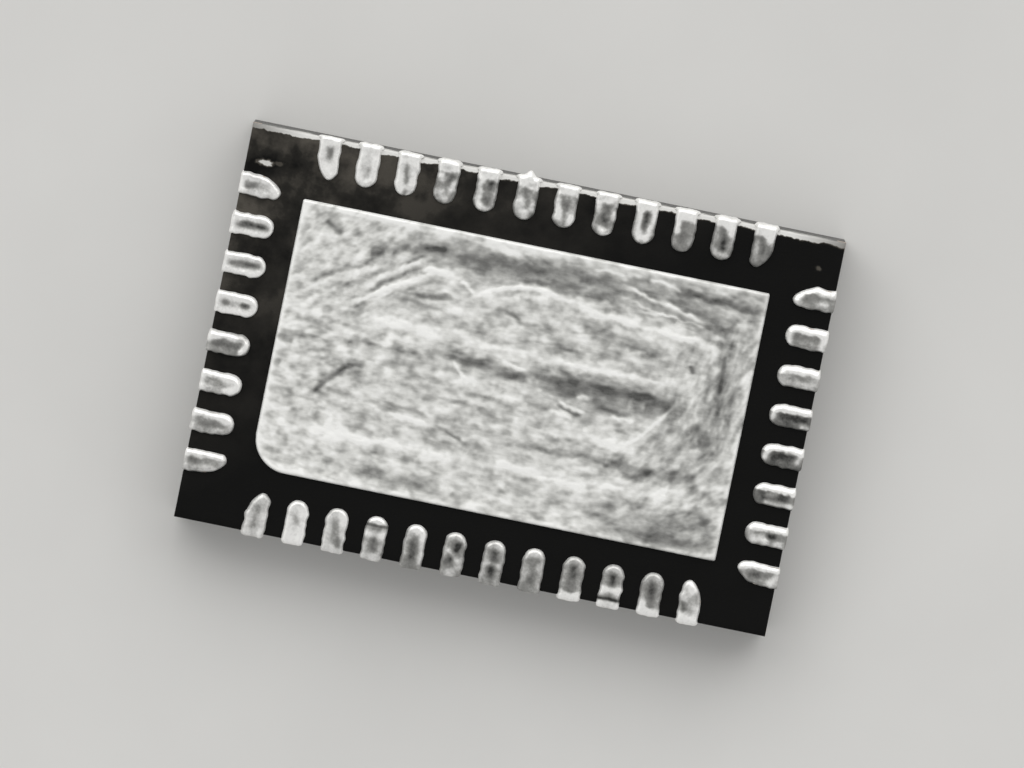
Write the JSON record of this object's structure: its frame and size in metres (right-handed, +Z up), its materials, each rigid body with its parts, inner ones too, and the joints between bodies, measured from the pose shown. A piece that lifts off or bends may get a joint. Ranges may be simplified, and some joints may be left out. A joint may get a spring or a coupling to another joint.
{
  "type": "integrated circuit",
  "caption": "Quad flat no-lead integrated circuit: flat black moulded block with solder lands along four sides and a large exposed pad, lying with its solder side up.",
  "frame": {"origin": "middle of the marked face, which the part lies on", "axes": "+X along the long sides, +Y along the short sides away from pin 1, +Z up out of the solder side"},
  "size_m": [0.006, 0.004, 0.0008],
  "materials": {
    "mould_compound": "black filled epoxy, smooth and slightly dusty on the faces, sawn on the sides",
    "tinned_copper": "wiped solder coat on etched copper, with the sawn ends bare or thinly wetted",
    "silicon": "polished silicon",
    "die_adhesive": "silver-filled adhesive",
    "bond_wire": "bare gold wire"
  },
  "bodies": {
    "root": {"mould_body": "mould_compound", "die_paddle": "tinned_copper", "die_attach": "die_adhesive", "die": "silicon", "bond_wires_west": "bond_wire", "bond_wires_north": "bond_wire", "bond_wires_east": "bond_wire", "bond_wires_south": "bond_wire", "lead_01": "tinned_copper", "lead_02": "tinned_copper", "lead_03": "tinned_copper", "lead_04": "tinned_copper", "lead_05": "tinned_copper", "lead_06": "tinned_copper", "lead_07": "tinned_copper", "lead_08": "tinned_copper", "lead_09": "tinned_copper", "lead_10": "tinned_copper", "lead_11": "tinned_copper", "lead_12": "tinned_copper", "lead_13": "tinned_copper", "lead_14": "tinned_copper", "lead_15": "tinned_copper", "lead_16": "tinned_copper", "lead_17": "tinned_copper", "lead_18": "tinned_copper", "lead_19": "tinned_copper", "lead_20": "tinned_copper", "lead_21": "tinned_copper", "lead_22": "tinned_copper", "lead_23": "tinned_copper", "lead_24": "tinned_copper", "lead_25": "tinned_copper", "lead_26": "tinned_copper", "lead_27": "tinned_copper", "lead_28": "tinned_copper", "lead_29": "tinned_copper", "lead_30": "tinned_copper", "lead_31": "tinned_copper", "lead_32": "tinned_copper", "lead_33": "tinned_copper", "lead_34": "tinned_copper", "lead_35": "tinned_copper", "lead_36": "tinned_copper", "lead_37": "tinned_copper", "lead_38": "tinned_copper", "lead_39": "tinned_copper", "lead_40": "tinned_copper"}
  },
  "joints": []
}
